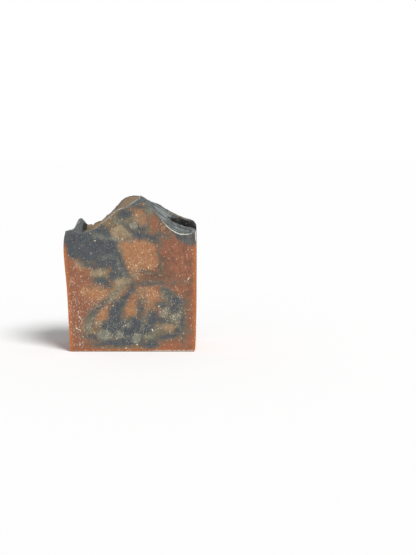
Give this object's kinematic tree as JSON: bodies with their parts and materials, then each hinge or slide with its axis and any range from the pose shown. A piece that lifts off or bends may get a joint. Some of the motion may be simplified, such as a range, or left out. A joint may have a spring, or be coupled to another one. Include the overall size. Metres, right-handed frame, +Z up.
{
  "type": "bar of soap",
  "caption": "Thick hand-cut slice of marbled soap that stands on its base, with flat cut faces, moulded sides and a spooned, peaked top with a rim, folds and a scooped hollow.",
  "frame": {"origin": "middle of the base, on the surface that the bar stands on", "axes": "+Z up to the worked top, +X to the right across the width, -Y out of the front cut face"},
  "size_m": [0.07, 0.027, 0.0818],
  "materials": {
    "soap": "satin, marbled terracotta and charcoal with pale specks"
  },
  "bodies": {
    "root": {"soap_bar": "soap"}
  },
  "joints": []
}
